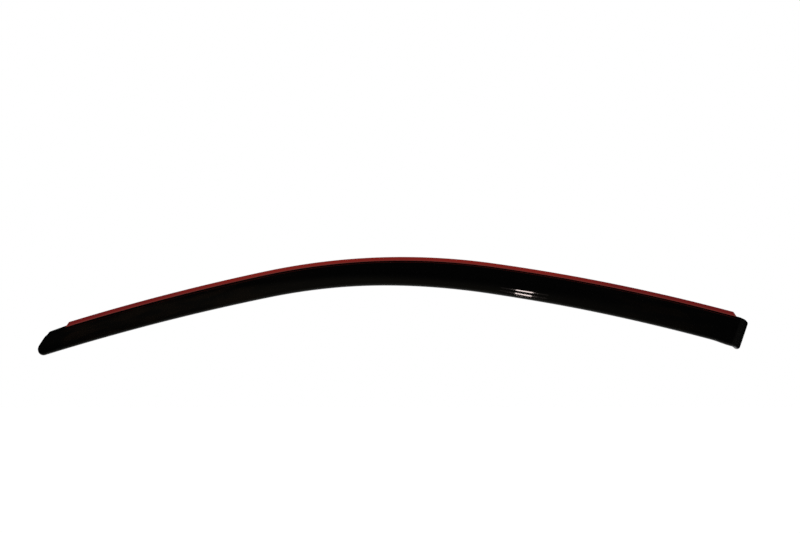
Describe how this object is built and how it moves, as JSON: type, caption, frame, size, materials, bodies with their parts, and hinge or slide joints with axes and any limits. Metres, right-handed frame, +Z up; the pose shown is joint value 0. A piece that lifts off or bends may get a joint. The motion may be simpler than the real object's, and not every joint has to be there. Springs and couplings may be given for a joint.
{
  "type": "window rain deflector",
  "caption": "Long arched sheet of smoked acrylic with a joggled top flange, a bowed blade and a bent rear end; foam tape with a red liner runs along the flange.",
  "frame": {"origin": "on the outer face of the release liner, halfway down the tape, at the highest point of the arch", "axes": "+X to the rear of the car, +Z up and -Y outboard, as fitted, with the flange leaning 25 degrees from upright at the origin"},
  "size_m": [0.9932, 0.0665, 0.1373],
  "materials": {
    "smoked_acrylic": "polished",
    "foam": "closed-cell foam",
    "liner_film": "satin film"
  },
  "bodies": {
    "root": {"blade": "smoked_acrylic", "foam_tape": "foam", "release_liner": "liner_film"}
  },
  "joints": []
}
